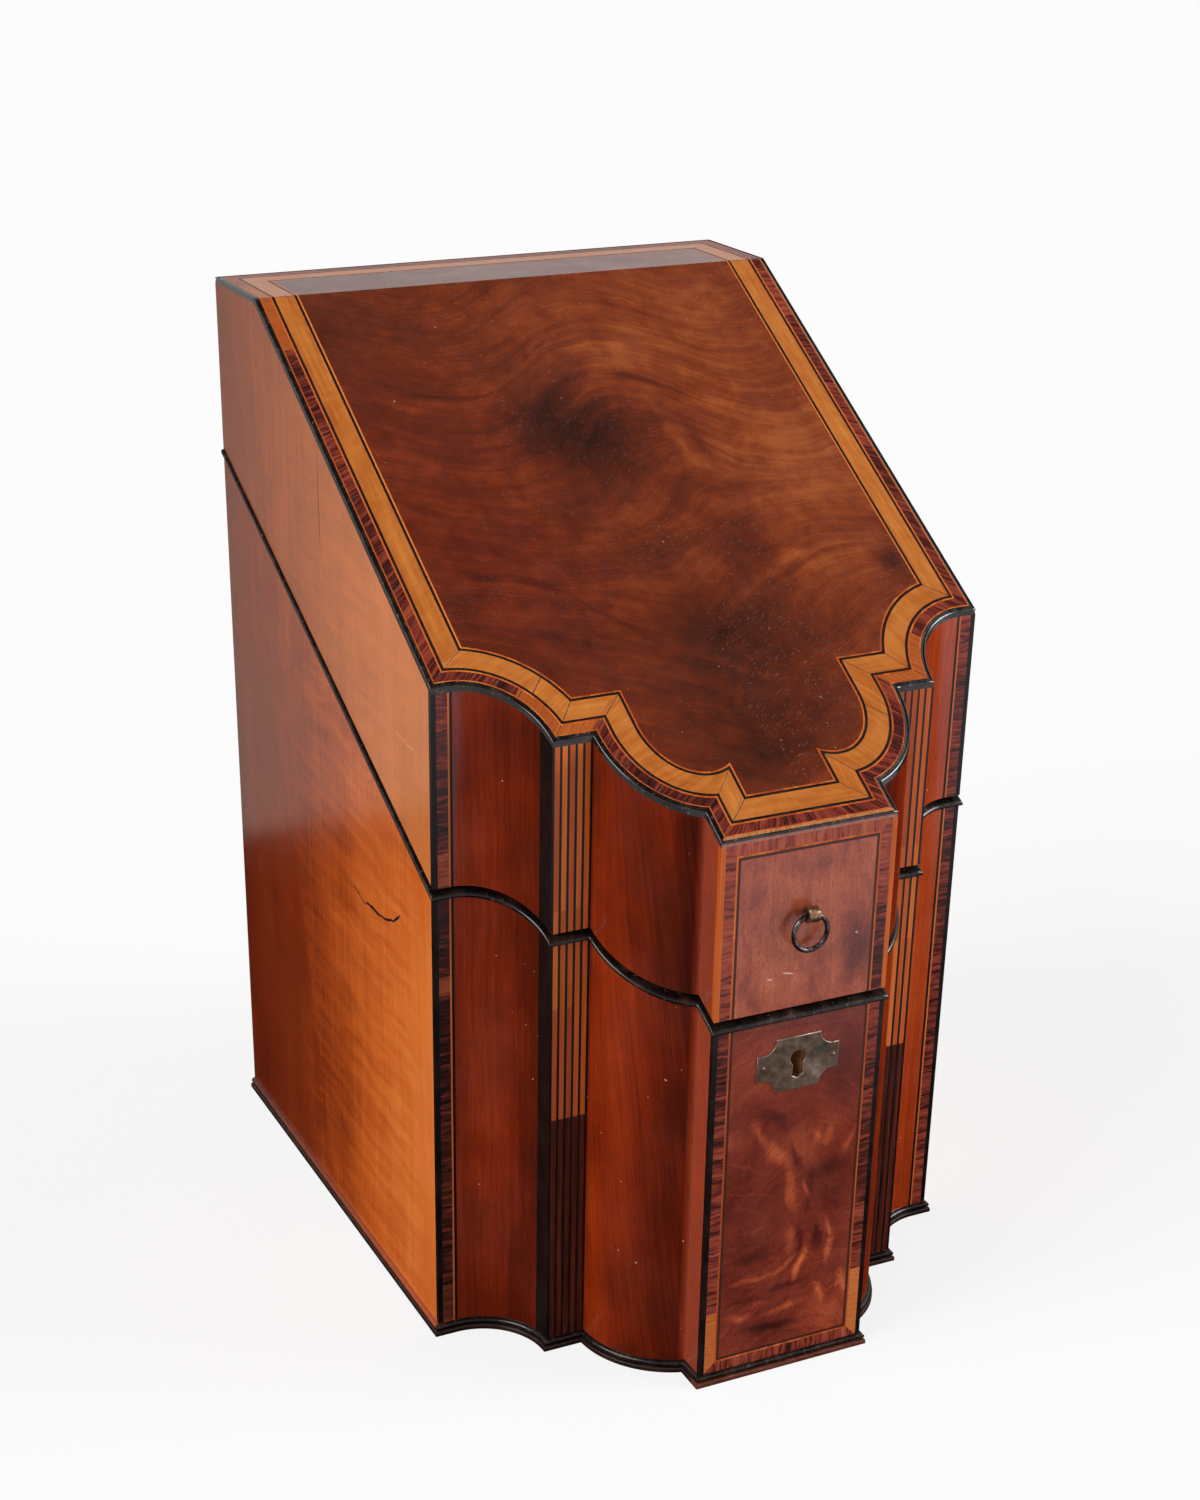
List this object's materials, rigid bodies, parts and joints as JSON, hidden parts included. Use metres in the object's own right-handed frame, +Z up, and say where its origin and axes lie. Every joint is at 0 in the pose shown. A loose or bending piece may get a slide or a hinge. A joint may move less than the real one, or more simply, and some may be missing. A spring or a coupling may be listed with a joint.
{
  "type": "knife box",
  "caption": "Sloping-lid wooden knife box with a serpentine inlaid front, fluted pilasters, hinged lid, pull ring, lock and pierced inner board.",
  "frame": {"origin": "middle of the case's footprint on the underside", "axes": "+Z up, +X to the right seen from the front, front faces -Y"},
  "size_m": [0.232, 0.3107, 0.375],
  "materials": {
    "carcase_wood": "oiled",
    "side_mahogany": "french polish",
    "plain_mahogany": "french polish",
    "crotch_mahogany": "french polish",
    "flame_mahogany": "french polish",
    "satinwood": "french polish",
    "kingwood": "french polish",
    "boxwood": "french polish",
    "rosewood": "french polish",
    "ebony": "french polish",
    "stained_wood": "french polish",
    "board_veneer": "waxed",
    "baize": "napped",
    "steel": "worn",
    "brass": "satin",
    "aged_brass": "tarnished",
    "eye_brass": "worn",
    "dark_iron": "burnished"
  },
  "bodies": {
    "base": {"base_right_side": "carcase_wood", "base_left_side": "carcase_wood", "base_back": "carcase_wood", "base_bottom": "carcase_wood", "base_centre_block": "carcase_wood", "base_ovolo_staves": "carcase_wood", "base_pilasters": "carcase_wood", "base_cove_staves": "carcase_wood", "base_side_veneer": "side_mahogany", "base_shaped_veneer": "plain_mahogany", "base_block_veneer": "crotch_mahogany", "base_flutes": "boxwood", "base_stop_flutes": "rosewood", "base_crossbanding": "kingwood", "base_box_lines": "boxwood", "base_ebony_inlay": "ebony", "rim_bead": "ebony", "rim_veneer": "plain_mahogany", "plinth_bead": "ebony", "plinth_fillet": "stained_wood", "knife_board": "board_veneer", "board_stringing": "boxwood", "board_battens": "carcase_wood", "well_lining": "baize", "lock_case": "steel", "lock_selvedge": "brass", "lock_screws": "steel", "escutcheon": "aged_brass", "escutcheon_pins": "aged_brass", "hinge_lower_leaves": "brass", "hinge_lower_screws": "steel", "hinge_pins": "steel"},
    "lid": {"lid_right_side": "carcase_wood", "lid_left_side": "carcase_wood", "lid_back": "carcase_wood", "lid_top_board": "carcase_wood", "lid_slope_board": "carcase_wood", "lid_centre_block": "carcase_wood", "lid_ovolo_staves": "carcase_wood", "lid_pilasters": "carcase_wood", "lid_cove_staves": "carcase_wood", "lid_side_veneer": "side_mahogany", "lid_shaped_veneer": "plain_mahogany", "lid_block_veneer": "crotch_mahogany", "lid_flame_veneer": "flame_mahogany", "lid_satinwood_band": "satinwood", "lid_crossbanding": "kingwood", "lid_box_lines": "boxwood", "lid_ebony_inlay": "ebony", "lid_arris_string": "ebony", "lid_flutes": "boxwood", "lid_lock_rail": "carcase_wood", "link_plate": "brass", "link_screws": "steel", "hinge_upper_leaves": "brass", "hinge_upper_screws": "steel", "ring_eye": "eye_brass"},
    "bolt": {"lock_bolt": "steel"},
    "ring": {"pull_ring": "dark_iron"}
  },
  "joints": [
    {"name": "lid_hinge", "type": "hinge", "parent": "base", "child": "lid", "pos_m": [0, 0.1521, 0.30573], "axis": [-1, 0, 0], "range_deg": [0, 95]},
    {"name": "ring_swing", "type": "hinge", "parent": "lid", "child": "ring", "pos_m": [0, -0.1531, 0.19574], "axis": [-1, 0, 0], "range_deg": [-8, 120]},
    {"name": "bolt_slide", "type": "slide", "parent": "base", "child": "bolt", "axis": [1, 0, 0], "range_m": [0, 0.005]}
  ]
}
